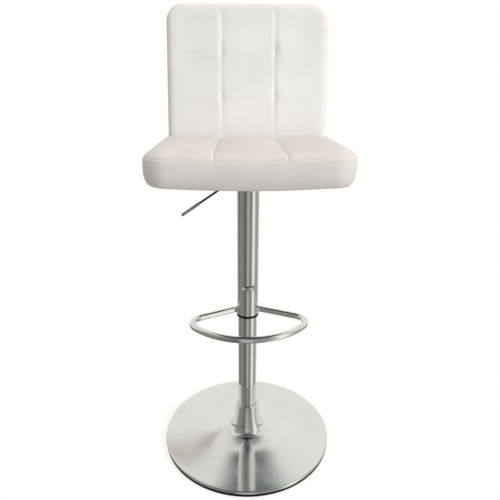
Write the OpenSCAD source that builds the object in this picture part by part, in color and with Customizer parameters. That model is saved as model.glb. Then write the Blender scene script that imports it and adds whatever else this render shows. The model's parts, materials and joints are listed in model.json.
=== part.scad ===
// Height-adjustable swivel bar stool with a quilted seat and back.
// Millimetres. The origin is on the floor at the column's axis, +Z is up and the sitter faces -Y.
// The stool is drawn fully raised, with the seat square to the base.

/* [Base] */
// Radius of the round base
base_r = 222; // [205:1:235]
// Thickness of the spun base sheet
sheet_t = 2; // [1.5:0.5:2.5]
// Height at which the spun disc levels out
disc_z = 13; // [13:0.5:16]
// Outer radius of the neck round the column
neck_r = 31.5; // [31:0.5:34]
// Height of the neck's top edge
neck_z = 96; // [80:1:110]
// Radial distance over which the neck flares into the disc
flare = 4.6; // [4:0.1:6]
// Visible height of the rubber floor ring
ring_h = 9; // [8:0.5:9.5]

/* [Column] */
// Outer radius of the standing column tube
tube_r = 24.5; // [24:0.1:24.7]
// Wall of the column tube
tube_wall = 1.8; // [1.5:0.1:2]
// Height of the guide bush in the top of the column tube
bush_h = 76; // [50:1:90]

/* [Gas lift] */
// Lift stroke, from fully raised down to fully lowered
stroke = 210; // [160:5:215]
// Outer radius of the gas cylinder
cylinder_r = 14; // [13.8:0.1:14]
// Wall of the gas cylinder
cylinder_wall = 1.2; // [1:0.1:1.3]
// Radius of the piston rod
rod_r = 5; // [4.5:0.1:5]

/* [Sleeve and footrest] */
// Outer radius of the sliding sleeve
sleeve_r = 26.8; // [26.7:0.05:27.5]
// Wall of the sleeve
sleeve_wall = 1.5; // [1.2:0.1:1.5]
// Height of the sleeve's lower end
sleeve_z = 375; // [360:1:385]
// Height of the footrest's centre line
footrest_z = 384.5; // [384:0.5:420]
// Radius of the footrest tube
footrest_tube_r = 7.8; // [6:0.1:8]
// Half the footrest's width, to the tube's centre line
footrest_half_w = 134; // [120:1:145]
// Radius of the footrest's front arc
footrest_arc_r = 165; // [155:1:175]
// Radius of the footrest's two corner bends
footrest_corner_r = 35; // [25:1:40]

/* [Seat] */
// Width of the seat
seat_w = 430; // [400:5:460]
// Distance from the column's axis to the seat's front
seat_front = 196; // [180:1:210]
// Distance from the column's axis to the seat's rear
seat_rear = 114; // [112:1:116]
// Height of the seat's underside
seat_z = 732; // [720:1:745]
// Thickness of the seat at its crown
seat_t = 72; // [60:1:80]

/* [Back] */
// Width of the back
back_w = 392; // [370:2:410]
// Length of the back, measured along its slope
back_len = 373; // [330:1:400]
// Thickness of the back
back_t = 56; // [54:1:64]
// Angle by which the back leans away from the sitter
recline = 8; // [5:0.5:11]

/* [Height lever] */
// Radius of the lever's wire
lever_r = 2.6; // [2.4:0.1:3]
// Radius of the lever's grip
grip_r = 4; // [3.6:0.1:4.5]
// Downward slope of the lever's outer arm
lever_slope = 34.5; // [25:0.5:36]
// Horizontal reach of the lever's tip from the column's axis
lever_reach = 154; // [140:1:170]

/* [Hidden] */
$fn = 64;
running_gap = 0.05;
fit_gap = 0.1;
clear = 0.4;

// Base
rim_r = 4;
collar_z = neck_z + 8;
ring_r = base_r - 0.8;
shelf_z = 6.5;
plate_r = base_r - 18;
plate_h = 3.5;
foot_z = shelf_z + plate_h;
foot_h = 6;
foot_top = foot_z + foot_h;
foot_bolt_pitch_r = 40;
bolt_count = 4;
flare_steps = 22;
curve_a = neck_r - flare;
curve_h = neck_z - disc_z;
edge_z = disc_z + curve_h * flare / (base_r - rim_r - curve_a);

// Thrust bearing under the piston rod
pin_r = 4;
ball_r = 2;
ball_pitch_r = 9;
ball_count = 8;
race_r = 13;
race_h = 2.5;
ball_z = foot_top + race_h + ball_r - 0.3;
upper_race_z = ball_z + ball_r + 0.3;
rod_z = upper_race_z + 2;

// Seat mechanism, from the seat's underside downwards
cover_t = 1.5;
dust_t = 1;
board_z = seat_z + cover_t;
board_t = 12;
plate_t = 3;
plate_z = board_z - dust_t - plate_t;
housing_h = 32;
housing_z = plate_z - housing_h;
housing_w = 104;
housing_d = 72;
housing_wall = 2.5;
plate_half_w = 102;
plate_half_d = 86;
plate_corner_r = 18;
plate_lip_t = 2.5;
plate_lip_h = 7;
slot_w = 12;
slot_h = 21;
slot_reach = 9;
cup_h = 34;
cup_r = 19;
cup_z = housing_z - cup_h;

// Gas lift
tube_top = cup_z - stroke - 7;
taper_z = housing_z - 58;
cylinder_top = housing_z + 3;
cylinder_top_r = 12.7;
cylinder_z = tube_top - bush_h - 9;
bore_r = cylinder_r - cylinder_wall;
guide_h = 18;
seal_h = 6;
piston_z = cylinder_z + 2 + guide_h + seal_h + 1;
piston_h = 14;
valve_h = 34;
button_z = cylinder_top + 4;

// Footrest: a straight arm each side, a corner bend, and one front arc
footrest_arc_y = 10;
footrest_root_y = 14;
corner_x = footrest_half_w - footrest_corner_r;
corner_y = footrest_arc_y - sqrt(pow(footrest_arc_r - footrest_corner_r, 2) - pow(corner_x, 2));
corner_d = norm([corner_x, corner_y - footrest_root_y]);
arm_len = sqrt(pow(corner_d, 2) - pow(footrest_corner_r, 2));
arm_angle = atan2(corner_y - footrest_root_y, corner_x) + asin(footrest_corner_r / corner_d);
arc_angle = atan2(corner_y - footrest_arc_y, corner_x);
footrest_wall = 1.5;
bend_proud = 0.1;

// Seat and back
seat_front_r = 50;
seat_rear_r = 26;
seat_top_r = 30;
seat_low_r = 16;
hem_w = 25;
board_inset = 15;
board_corner_cut = 12;
back_y = seat_rear + 1.2;
back_high_r = 40;
back_low_r = 22;
back_edge_r = 17;
back_board_inset = 14;
back_board_t = 10;
back_board_y = 38;
back_split_y = back_board_y + back_board_t / 2;

// Bolts under the seat
bolt_x = 80;
bolt_y = 68;
bolt_r = 3;

// Angle brackets that carry the back
bracket_x = 118;
bracket_w = 36;
bracket_t = 4;
bracket_seat_len = 100;
bracket_rise = 175;
bracket_z = board_z + board_t;
bracket_front = back_board_y - bracket_t;
bracket_bolt_seat_y = [40, 80];
bracket_bolt_back_z = [95, 150];
screw_r = 2;
screw_head_r = 4.5;
screw_head_h = 2.5;
screw_len = 9;

// Lever, in the XZ plane, pivoting in the housing
pivot_x = -26;
pivot_z = housing_z + 14;
pivot_r = 2.5;
lever_bend_x = -36.5;
grip_len = 52;
grip_wall_gap = 0.03;
lever_run = lever_reach + lever_bend_x;

// ---- Shared shapes ----

// Points of an arc round a centre, from one angle to another
function arc(centre, r, from, to, steps) =
    [for (i = [0:steps])
        let (a = from + (to - from) * i / steps)
        centre + r * [cos(a), sin(a)]];

// A ring with a square section
module ring(inner, outer, z, h) {
    rotate_extrude()
        translate([inner, z])
            square([outer - inner, h]);
}

// A rectangle whose low corners and high corners have their own radii
module soft_box(x0, x1, y0, y1, low_r, high_r) {
    translate([x0, y0 + low_r]) square([x1 - x0, y1 - y0 - low_r - high_r]);
    translate([x0 + low_r, y0]) square([x1 - x0 - 2 * low_r, low_r + 0.5]);
    translate([x0 + high_r, y1 - high_r - 0.5]) square([x1 - x0 - 2 * high_r, high_r + 0.5]);
    for (x = [x0 + low_r, x1 - low_r]) translate([x, y0 + low_r]) circle(low_r);
    for (x = [x0 + high_r, x1 - high_r]) translate([x, y1 - high_r]) circle(high_r);
}

// A section drawn in the YZ plane, pulled along X and centred on it
module pull_x(w) {
    rotate([90, 0, 90]) linear_extrude(w, center = true) children();
}

// A section drawn in the XZ plane, pulled along Y from y0 to y1
module pull_y(y0, y1) {
    translate([0, y1, 0]) rotate([90, 0, 0]) linear_extrude(y1 - y0) children();
}

// A round bar from one point to another
module bar(from, to, r) {
    v = to - from;
    translate(from)
        rotate([0, acos(v[2] / norm(v)), atan2(v[1], v[0])])
            cylinder(h = norm(v), r = r);
}

module four_bolt_places() {
    for (x = [-bolt_x, bolt_x], y = [-bolt_y, bolt_y]) translate([x, y, 0]) children();
}

module foot_bolt_places() {
    for (i = [0:bolt_count - 1])
        rotate([0, 0, 45 + i * 360 / bolt_count]) translate([foot_bolt_pitch_r, 0, 0]) children();
}

// ---- Base ----

// Rubber ring that the spun base and the ballast plate stand on
module floor_ring() {
    shell_in = base_r - sheet_t - 0.4;
    color("#161616")
        rotate_extrude()
            polygon([
                [plate_r - 8, 0], [ring_r - 1, 0], [ring_r, 1], [ring_r, ring_h], [shell_in, ring_h],
                [shell_in, ring_h + 1.6], [plate_r + 0.5, ring_h + 1.6], [plate_r + 0.5, shelf_z],
                [plate_r - 8, shelf_z]
            ]);
}

// Spun sheet: a hyperbola from the neck out to the disc, then a rolled edge and a short flange.
// Step i lies q times as far out from the curve's own axis as the neck does.
function flare_q(i) = pow((base_r - rim_r - curve_a) / flare, i / flare_steps);
function flare_point(i) = [curve_a + flare * flare_q(i), disc_z + curve_h / flare_q(i)];
function flare_normal(i) =
    let (n = [curve_h / (flare * pow(flare_q(i), 2)), 1]) n / norm(n);

module base_shell() {
    edge = [base_r - rim_r, edge_z - rim_r];
    outer = [for (i = [0:flare_steps]) flare_point(i)];
    inner = [for (i = [flare_steps:-1:0]) flare_point(i) - sheet_t * flare_normal(i)];
    color("#d6d6d4")
        rotate_extrude()
            polygon(concat(
                outer,
                arc(edge, rim_r, 75, 0, 5),
                [[base_r, ring_h], [base_r - sheet_t, ring_h]],
                arc(edge, rim_r - sheet_t, 0, 75, 5),
                inner
            ));
}

// Turned ring that closes the gap between the neck and the column
module base_collar() {
    spigot_r = neck_r - sheet_t - fit_gap;
    lip = [neck_r - 2, collar_z - 2];
    color("#e2e2e0")
        rotate_extrude()
            polygon(concat(
                [[tube_r + fit_gap, neck_z - 8], [spigot_r, neck_z - 8],
                 [spigot_r, neck_z], [neck_r, neck_z]],
                arc(lip, 2, 0, 90, 6),
                [[neck_r - 4, collar_z], [neck_r - 6, collar_z - 3], [tube_r + fit_gap, collar_z - 3]]
            ));
}

// Steel ballast plate, which carries the column
module base_plate() {
    color("#6f7276")
        difference() {
            ring(17, plate_r, shelf_z, plate_h);
            foot_bolt_places() translate([0, 0, shelf_z - 1]) cylinder(h = plate_h + 2, r = pin_r + fit_gap);
        }
}

// Flange and socket at the column's lower end
module column_foot() {
    color("#7c7f83")
        difference() {
            union() {
                ring(pin_r + running_gap, 52, foot_z, foot_h);
                ring(tube_r + running_gap, tube_r + 5, foot_top - 1, 24);
            }
            foot_bolt_places() translate([0, 0, foot_z - 1]) cylinder(h = foot_h + 2, r = pin_r + fit_gap);
        }
}

module foot_bolts() {
    color("#9a9c9f")
        foot_bolt_places() {
            translate([0, 0, shelf_z - 4]) cylinder(h = 4, r = 6.5);
            translate([0, 0, shelf_z - 0.5]) cylinder(h = plate_h + foot_h + 8, r = pin_r);
        }
}

module foot_nuts() {
    color("#9a9c9f")
        foot_bolt_places()
            difference() {
                translate([0, 0, foot_top]) cylinder(h = 6.5, r = 7.5, $fn = 6);
                translate([0, 0, foot_top - 1]) cylinder(h = 9, r = pin_r + running_gap);
            }
}

// ---- Column and bearing ----

module column_tube() {
    color("#dadad8") ring(tube_r - tube_wall, tube_r, foot_top, tube_top - 2 - foot_top);
}

// Plastic bush that guides the gas cylinder in the column's top
module column_guide_bush() {
    color("#222222") {
        ring(cylinder_r + running_gap, tube_r - tube_wall, tube_top - bush_h, bush_h - 1);
        ring(cylinder_r + running_gap, tube_r, tube_top - 2, 2);
    }
}

// Hardened washer with a ball track
module lower_race() {
    color("#b9bbbd")
        difference() {
            ring(pin_r + 0.4, race_r, foot_top, race_h);
            rotate_extrude() translate([ball_pitch_r, ball_z]) circle(ball_r + running_gap);
        }
}

module ball_cage() {
    color("#caa64a")
        difference() {
            ring(pin_r + 2, race_r - 0.5, ball_z - 0.7, 1.4);
            for (i = [0:ball_count - 1])
                rotate([0, 0, i * 360 / ball_count])
                    translate([ball_pitch_r, 0, ball_z - 2])
                        cylinder(h = 4, r = ball_r + 0.15);
        }
}

module bearing_balls() {
    color("#d0d2d4")
        for (i = [0:ball_count - 1])
            rotate([0, 0, i * 360 / ball_count])
                translate([ball_pitch_r, 0, ball_z]) sphere(ball_r, $fn = 32);
}

module upper_race() {
    color("#b9bbbd") ring(pin_r + running_gap, race_r, upper_race_z, rod_z - upper_race_z);
}

// ---- Piston rod, which turns with the seat but stays at one height ----

// Rod with a retaining pin below, and a spigot above for the piston
module piston_rod() {
    clip_z = foot_z - 3.8;
    color("#c9cbcd")
        rotate_extrude()
            polygon([
                [0, clip_z - 1], [pin_r - 0.5, clip_z - 1], [pin_r, clip_z - 0.5], [pin_r, clip_z],
                [pin_r - 0.8, clip_z], [pin_r - 0.8, clip_z + 1.6], [pin_r, clip_z + 1.6], [pin_r, rod_z],
                [rod_r, rod_z], [rod_r, piston_z], [3.5, piston_z], [3.5, piston_z + piston_h + 2],
                [0, piston_z + piston_h + 2]
            ]);
}

module rod_washer() {
    color("#a9abad") ring(pin_r + running_gap, 9, foot_z - 2.1, 1.7);
}

// Open retaining ring in the pin's groove
module rod_clip() {
    color("#3d3f42")
        difference() {
            ring(pin_r - 0.75, 8, foot_z - 3.75, 1.5);
            translate([0, -1.5, foot_z - 4]) cube([12, 3, 2]);
        }
}

// Rubber buffer that softens the lowest position
module rubber_bumper() {
    low = rod_z;
    color("#1b1b1b")
        rotate_extrude()
            polygon([
                [rod_r + running_gap, low], [14, low], [15, low + 1], [15, low + 6], [12.5, low + 8],
                [12.5, low + 11], [15, low + 13], [15, low + 18], [14, low + 19],
                [rod_r + running_gap, low + 19]
            ]);
}

module piston_head() {
    color("#b48a3a")
        difference() {
            ring(3.5 + running_gap, bore_r - 0.4, piston_z, piston_h);
            ring(bore_r - 2.4, bore_r + 1, piston_z + 5, 4);
        }
}

module piston_seal() {
    color("#141414") ring(bore_r - 2.35, bore_r - running_gap, piston_z + 5.1, 3.8);
}

// ---- Gas cylinder, which lifts with the seat ----

// Cylinder with a tapered top, open below for the rod guide
module gas_cylinder() {
    color("#2b2c2e")
        rotate_extrude()
            polygon([
                [bore_r, cylinder_z], [cylinder_r, cylinder_z], [cylinder_r, taper_z],
                [cylinder_top_r, cylinder_top], [pin_r + 0.2, cylinder_top], [pin_r + 0.2, cylinder_top - 6],
                [bore_r - 2, cylinder_top - 6], [bore_r - 2, taper_z], [bore_r, taper_z - 4]
            ]);
}

// Gland that the rod runs through
module rod_guide() {
    color("#3a3b3d") ring(rod_r + running_gap, bore_r - running_gap, cylinder_z + 2, guide_h);
}

module rod_seal() {
    seal_z = cylinder_z + 2 + guide_h;
    color("#101010")
        rotate_extrude()
            polygon([
                [rod_r + running_gap, seal_z], [bore_r - running_gap, seal_z],
                [bore_r - running_gap, seal_z + seal_h], [bore_r - 2, seal_z + seal_h],
                [bore_r - 3, seal_z + 2], [rod_r + 1.5, seal_z + 2], [rod_r + 0.8, seal_z + seal_h - 1],
                [rod_r + running_gap, seal_z + seal_h - 1]
            ]);
}

module valve_body() {
    color("#b99a4c") ring(3 + running_gap, bore_r - 2 - running_gap, cylinder_top - 6 - valve_h, valve_h);
}

// Release button at the top of the cylinder
module valve_pin() {
    low = cylinder_top - 6 - valve_h + 5;
    color("#d9d9d9")
        rotate_extrude()
            polygon([[0, low], [3, low], [3, button_z - 0.6], [2.4, button_z], [0, button_z]]);
}

// Tapered socket that holds the cylinder's top
module taper_cup() {
    slope = (cylinder_r - cylinder_top_r) / (cylinder_top - taper_z);
    low_r = cylinder_r - slope * (cup_z - taper_z) + running_gap;
    high_r = cylinder_r - slope * (housing_z - taper_z) + running_gap;
    color("#4a4c4f")
        rotate_extrude()
            polygon([
                [low_r, cup_z], [cup_r - 1, cup_z], [cup_r, cup_z + 1], [cup_r, housing_z - 4],
                [sleeve_r - sleeve_wall - 0.5, housing_z - 4], [sleeve_r - sleeve_wall - 0.5, housing_z],
                [high_r, housing_z]
            ]);
}

// ---- Sleeve and footrest ----

module sleeve_tube() {
    color("#dadad8") ring(sleeve_r - sleeve_wall, sleeve_r, sleeve_z, housing_z - sleeve_z);
}

// Plastic ring that guides the sleeve on the column
module sleeve_guide_ring() {
    color("#101010")
        rotate_extrude()
            polygon([
                [tube_r + running_gap, sleeve_z - 4], [sleeve_r + 0.3, sleeve_z - 4],
                [sleeve_r + 0.8, sleeve_z - 3.5], [sleeve_r + 0.8, sleeve_z],
                [sleeve_r - sleeve_wall, sleeve_z],
                [sleeve_r - sleeve_wall, sleeve_z + 24], [tube_r + running_gap, sleeve_z + 24]
            ]);
}

// One bend of the loop, from one direction to another round its centre
module loop_bend(centre, bend_r, from, to, r) {
    translate([centre[0], centre[1], footrest_z])
        rotate([0, 0, from])
            rotate_extrude(angle = to - from)
                translate([bend_r, 0])
                    circle(r);
}

// The whole loop as a bar. The bends are a hair fatter, and the straight and front stretches run into them.
module loop_bar(r) {
    lap = 1;
    lap_angle = lap / footrest_arc_r * 180 / PI;
    front_from = 180 - arc_angle - lap_angle;
    front_to = 360 + arc_angle + lap_angle;
    loop_bend([0, footrest_arc_y], footrest_arc_r, front_from, front_to, r);
    for (side = [0, 1])
        mirror([side, 0, 0]) {
            loop_bend([corner_x, corner_y], footrest_corner_r, arc_angle, arm_angle + 90, r + bend_proud);
            translate([0, footrest_root_y, footrest_z])
                rotate([0, 90, arm_angle])
                    translate([0, 0, 12])
                        cylinder(h = arm_len - 12 + lap, r = r);
        }
}

// Bent tube, whose two arms are welded to the sleeve
module footrest_loop() {
    color("#dcdcda")
        difference() {
            loop_bar(footrest_tube_r);
            loop_bar(footrest_tube_r - footrest_wall);
            translate([0, 0, sleeve_z]) cylinder(h = 60, r = sleeve_r);
        }
}

// ---- Seat mechanism ----

// Pressed box under the seat plate, with a slot for the lever
module mechanism_housing() {
    half_w = housing_w / 2;
    half_d = housing_d / 2;
    color("#1d1e20")
        difference() {
            translate([0, 0, housing_z])
                linear_extrude(housing_h)
                    soft_box(-half_w, half_w, -half_d, half_d, 10, 10);
            translate([0, 0, housing_z + housing_wall])
                linear_extrude(housing_h)
                    soft_box(
                        -half_w + housing_wall, half_w - housing_wall,
                        -half_d + housing_wall, half_d - housing_wall, 7.5, 7.5
                    );
            translate([0, 0, housing_z - 1]) cylinder(h = housing_wall + 2, r = cylinder_r + 1);
            translate([-half_w - 1, -slot_w / 2, housing_z - 1]) cube([slot_reach + 1, slot_w, slot_h + 1]);
            translate([pivot_x, half_d + 1, pivot_z])
                rotate([90, 0, 0])
                    cylinder(h = housing_d + 2, r = pivot_r + fit_gap);
        }
}

// Outline of the seat plate, moved in, from its underside up
module plate_block(inset, z, h) {
    half_w = plate_half_w - inset;
    half_d = plate_half_d - inset;
    corner_r = plate_corner_r - inset;
    translate([0, 0, z]) linear_extrude(h) soft_box(-half_w, half_w, -half_d, half_d, corner_r, corner_r);
}

// Steel plate bolted under the seat board, with its edge turned down
module swivel_plate() {
    color("#1d1e20")
        difference() {
            plate_block(0, plate_z - plate_lip_h, plate_lip_h + plate_t);
            plate_block(plate_lip_t, plate_z - plate_lip_h - 1, plate_lip_h + 1);
            four_bolt_places() translate([0, 0, plate_z - 1]) cylinder(h = plate_t + 2, r = bolt_r + 0.5);
        }
}

// Pin that the lever turns on
module lever_pivot_pin() {
    half_d = housing_d / 2;
    color("#b9bbbd")
        translate([pivot_x, 0, pivot_z])
            rotate([90, 0, 0])
                rotate_extrude()
                    polygon([
                        [0, -half_d - 3], [4, -half_d - 3], [4, -half_d], [pivot_r, -half_d],
                        [pivot_r, half_d + 1], [pivot_r - 0.6, half_d + 1], [pivot_r - 0.6, half_d + 2],
                        [pivot_r, half_d + 2], [pivot_r, half_d + 3], [0, half_d + 3]
                    ]);
}

module pivot_clip() {
    half_d = housing_d / 2;
    color("#3d3f42")
        translate([pivot_x, -half_d - 1.05, pivot_z])
            rotate([90, 0, 0])
                difference() {
                    ring(pivot_r - 0.55, 4.6, 0, 0.9);
                    translate([0, -1.2, -1]) cube([8, 2.4, 3]);
                }
}

// Bent wire lever with a pivot boss and a striker over the release button
module lever_arm() {
    bend = [lever_bend_x, 0, pivot_z];
    tip = bend + [-lever_run, 0, -lever_run * tan(lever_slope)];
    color("#3a3b3d")
        difference() {
            union() {
                bar([0, 0, pivot_z], bend, lever_r);
                translate(bend) sphere(lever_r);
                bar(bend, tip, lever_r);
                translate([pivot_x, 8, pivot_z]) rotate([90, 0, 0]) cylinder(h = 16, r = 6);
                translate([0, 0, button_z + 0.5]) cylinder(h = pivot_z - button_z, r = 3.5);
            }
            translate([pivot_x, 10, pivot_z]) rotate([90, 0, 0]) cylinder(h = 20, r = pivot_r + running_gap);
        }
}

// Metal grip pushed over the lever's end
module lever_grip() {
    end_x = lever_bend_x - lever_run;
    end_z = pivot_z - lever_run * tan(lever_slope);
    color("#8d8f91")
        translate([end_x, 0, end_z])
            rotate([0, 90 - lever_slope, 0])
                rotate_extrude()
                    polygon(concat(
                        [[0, -3], [grip_r - 2, -3]],
                        arc([grip_r - 2, -1], 2, 270, 360, 5),
                        [[grip_r, grip_len - 4], [grip_r - 0.6, grip_len - 3],
                         [lever_r + grip_wall_gap, grip_len - 3],
                         [lever_r + grip_wall_gap, -0.05], [0, -0.05]]
                    ));
}

module plate_bolts() {
    head_z = plate_z - 1.5;
    color("#8e9093")
        four_bolt_places() {
            translate([0, 0, head_z - 4]) cylinder(h = 4, r = 5.8, $fn = 6);
            translate([0, 0, head_z - 0.5]) cylinder(h = 20, r = bolt_r);
        }
}

module plate_washers() {
    color("#b9bbbd") four_bolt_places() ring(bolt_r + 0.2, 8, plate_z - 1.5, 1.5);
}

module tee_nuts() {
    top = board_z + board_t;
    color("#b9bbbd")
        four_bolt_places() {
            ring(bolt_r + running_gap, 9.5, top, 1.5);
            ring(bolt_r + running_gap, bolt_r + 1, top - 9, 9.5);
        }
}

// ---- Angle brackets between the seat and the back ----

// Everything on the back is drawn upright and then leant back about its lower front edge
module lean_back() {
    translate([0, back_y, seat_z + 2]) rotate([-recline, 0, 0]) children();
}

// A bracket with some space all round it
module bracket_body(grow) {
    up = [sin(recline), cos(recline)];
    out = [cos(recline), -sin(recline)];
    origin = [back_y, seat_z + 2];
    corner_front = origin + bracket_front * out;
    lift = (bracket_z - grow - corner_front[1]) / up[1];
    low_front = corner_front - grow * out + lift * up;
    low_rear = low_front + (bracket_t + 2 * grow) * out;
    foot_front = [seat_rear - bracket_seat_len - grow, bracket_z - grow];
    thick = bracket_t + 2 * grow;
    high = lift + bracket_rise + grow;
    pull_x(bracket_w + 2 * grow)
        polygon([
            foot_front, [low_rear[0] + up[0] * out[1], bracket_z - grow],
            corner_front + (bracket_t + grow) * out + high * up, corner_front - grow * out + high * up,
            low_front + (thick / up[1]) * up, [foot_front[0], foot_front[1] + thick]
        ]);
}

module bracket_screw(r, head_r, head_h, len) {
    translate([0, 0, -len]) cylinder(h = len + 0.5, r = r);
    cylinder(h = head_h, r = head_r);
}

// The screws of the bracket at x = 0: two down into the seat board, two back into the back board
module screw_set(r, head_r, head_h, len) {
    for (y = bracket_bolt_seat_y)
        translate([0, y, bracket_z + bracket_t]) bracket_screw(r, head_r, head_h, len);
    lean_back()
        for (z = bracket_bolt_back_z)
            translate([0, bracket_front, z]) rotate([90, 0, 0]) bracket_screw(r, head_r, head_h, len);
}

module both_sides() {
    for (x = [-bracket_x, bracket_x]) translate([x, 0, 0]) children();
}

module back_bracket() {
    color("#202123")
        difference() {
            bracket_body(0);
            screw_set(screw_r + 0.2, screw_r + 0.2, 2, bracket_t + 1);
        }
}

module back_bracket_left() {
    translate([-bracket_x, 0, 0]) back_bracket();
}

module back_bracket_right() {
    translate([bracket_x, 0, 0]) back_bracket();
}

module bracket_screws() {
    color("#c2c4c6") both_sides() screw_set(screw_r, screw_head_r, screw_head_h, screw_len);
}

// ---- Seat ----

// The seat's outer form, with every face moved in. Each section stands clear of the faces that another cuts.
module seat_form(inset) {
    half = seat_w / 2 - inset;
    front = -seat_front + inset;
    rear = seat_rear - inset;
    low = seat_z + inset;
    high = seat_z + seat_t - inset;
    low_r = seat_low_r - inset;
    top_r = seat_top_r - inset;
    intersection() {
        translate([0, 0, low - clear])
            linear_extrude(high - low + 2 * clear)
                soft_box(-half - clear, half + clear, front - clear, rear + clear,
                         seat_front_r - inset, seat_rear_r - inset);
        pull_x(seat_w) soft_box(front, rear, low, high, low_r, top_r);
        pull_y(front - 2 * clear, rear + 2 * clear)
            soft_box(-half, half, low - clear, high + clear, low_r, top_r);
    }
}

// Outline of the seat, moved in, from its underside up
module seat_outline(inset, z, h) {
    half = seat_w / 2 - inset;
    translate([0, 0, z])
        linear_extrude(h)
            soft_box(-half, half, -seat_front + inset, seat_rear - inset,
                seat_front_r - board_corner_cut, seat_rear_r - board_corner_cut);
}

// Plywood board that everything on the seat is fixed to
module seat_board() {
    color("#c9a774")
        difference() {
            seat_outline(cover_t + board_inset, board_z, board_t);
            four_bolt_places() translate([0, 0, board_z - 1]) cylinder(h = board_t + 2, r = bolt_r + 1.1);
            both_sides() screw_set(screw_r + running_gap, screw_r + running_gap, 2, screw_len + 0.3);
        }
}

// Foam over the board and round its edge
module seat_foam() {
    color("#f0dd9a")
        difference() {
            seat_form(cover_t);
            seat_outline(cover_t + board_inset, board_z - 1, board_t + 1);
            four_bolt_places() translate([0, 0, board_z]) cylinder(h = board_t + 6, r = 10);
            both_sides() bracket_body(0.4);
            both_sides() screw_set(screw_r + 1, screw_head_r + 0.5, screw_head_h + 0.8, 2);
        }
}

// Faux leather cover, turned in under the board
module seat_cover() {
    color("#eeeae4")
        difference() {
            seat_form(0);
            seat_form(cover_t);
            seat_outline(hem_w, seat_z - 1, 4);
            both_sides() bracket_body(0.4);
        }
}

// Black cloth over the board's underside
module dust_cover() {
    color("#1a1a1b")
        difference() {
            seat_outline(hem_w + 0.5, board_z - dust_t, dust_t);
            four_bolt_places() translate([0, 0, board_z - 3]) cylinder(h = 6, r = bolt_r + 1.1);
        }
}

// ---- Back ----

// The back's outer form, upright, with every face moved in
module back_form(inset) {
    half = back_w / 2 - inset;
    high = back_len - inset;
    rear = back_t - inset;
    edge_r = back_edge_r - inset;
    intersection() {
        pull_y(inset - clear, rear + clear)
            soft_box(-half - clear, half + clear, inset - clear, high + clear, back_low_r, back_high_r);
        pull_x(back_w) soft_box(inset, rear, inset, high, edge_r, edge_r);
        linear_extrude(back_len + 1) soft_box(-half, half, inset - clear, rear + clear, edge_r, edge_r);
    }
}

module back_board_block() {
    half = back_w / 2 - back_board_inset;
    pull_y(back_board_y, back_board_y + back_board_t)
        soft_box(-half, half, back_board_inset, back_len - back_board_inset,
            back_low_r - board_corner_cut, back_high_r - board_corner_cut);
}

module back_board() {
    color("#c9a774")
        difference() {
            lean_back() back_board_block();
            both_sides() screw_set(screw_r + running_gap, screw_r + running_gap, 2, screw_len + 0.3);
        }
}

// Foam in front of the board
module back_foam() {
    color("#f0dd9a")
        difference() {
            lean_back()
                difference() {
                    back_form(cover_t);
                    translate([-back_w, back_split_y, -10]) cube([2 * back_w, back_t, back_len + 20]);
                    back_board_block();
                }
            both_sides() bracket_body(0.4);
            both_sides() screw_set(screw_r + 1, screw_head_r + 0.5, screw_head_h + 0.8, 2);
        }
}

// Thin padding behind the board
module back_rear_pad() {
    color("#f0dd9a")
        lean_back()
            difference() {
                back_form(cover_t);
                translate([-back_w, -1, -10]) cube([2 * back_w, back_split_y + 1, back_len + 20]);
                back_board_block();
            }
}

module back_cover() {
    color("#eeeae4")
        difference() {
            lean_back()
                difference() {
                    back_form(0);
                    back_form(cover_t);
                }
            both_sides() bracket_body(0.4);
        }
}

floor_ring();
base_shell();
base_collar();
base_plate();
column_foot();
foot_bolts();
foot_nuts();
column_tube();
column_guide_bush();
lower_race();
ball_cage();
bearing_balls();
piston_rod();
rod_washer();
rod_clip();
upper_race();
rubber_bumper();
piston_head();
piston_seal();
gas_cylinder();
rod_guide();
rod_seal();
valve_body();
valve_pin();
taper_cup();
sleeve_tube();
sleeve_guide_ring();
footrest_loop();
mechanism_housing();
swivel_plate();
lever_pivot_pin();
pivot_clip();
lever_arm();
lever_grip();
plate_bolts();
plate_washers();
tee_nuts();
seat_board();
seat_foam();
seat_cover();
dust_cover();
back_bracket_left();
back_bracket_right();
bracket_screws();
back_board();
back_foam();
back_rear_pad();
back_cover();
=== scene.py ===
"""Looks of a height-adjustable swivel bar stool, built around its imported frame.

Metres, +Z up, the column on the Z axis, the sitter facing -Y.
"""

import json
import math
from functools import partial

import bpy
import numpy as np
from mathutils import Matrix, Vector
from mathutils.bvhtree import BVHTree

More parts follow.
